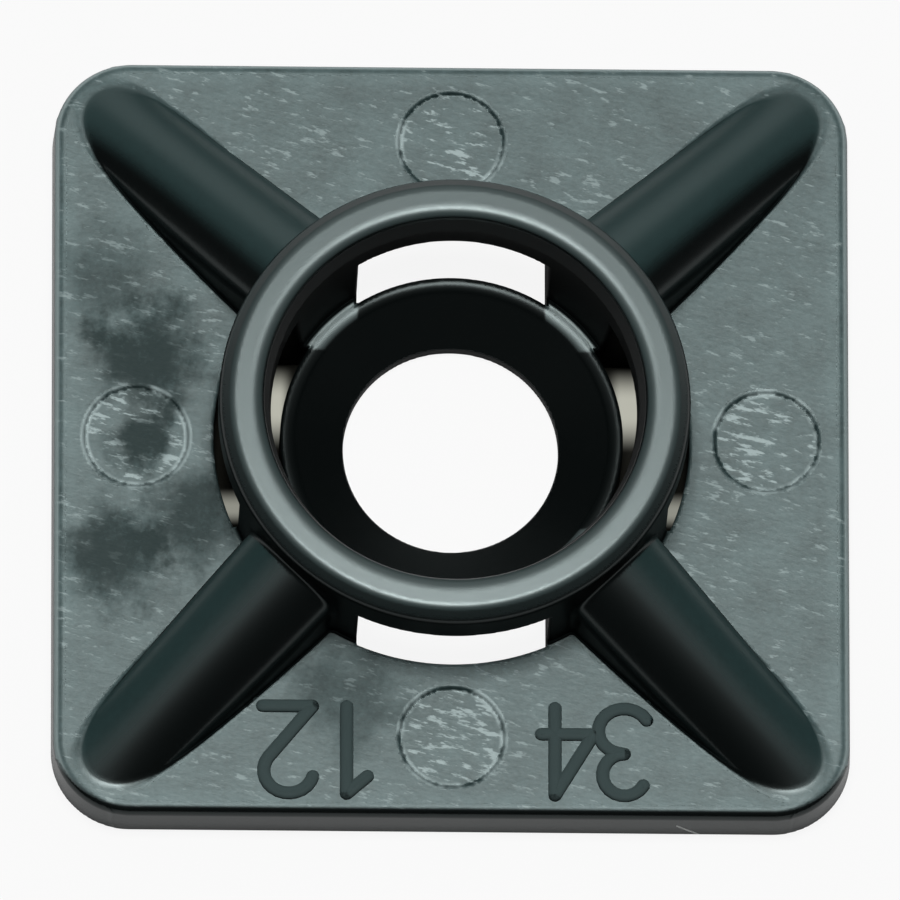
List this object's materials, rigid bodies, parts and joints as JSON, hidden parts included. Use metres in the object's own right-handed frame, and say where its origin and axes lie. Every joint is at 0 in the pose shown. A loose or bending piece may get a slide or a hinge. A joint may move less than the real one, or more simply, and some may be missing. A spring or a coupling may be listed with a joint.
{
  "type": "cable tie mount",
  "caption": "Square screw-on cable tie mount: raised ring on sloping diagonal legs over a countersunk hole, with tie passages on all sides.",
  "frame": {"origin": "centre of the square underside, on the axis of the screw hole", "axes": "+Z out of the surface the mount is fixed to, along the screw; +X and +Y square to the sides of the base"},
  "size_m": [0.02, 0.02, 0.0045],
  "materials": {
    "nylon": "satin moulded black nylon"
  },
  "bodies": {
    "root": {"tie_mount": "nylon"}
  },
  "joints": []
}
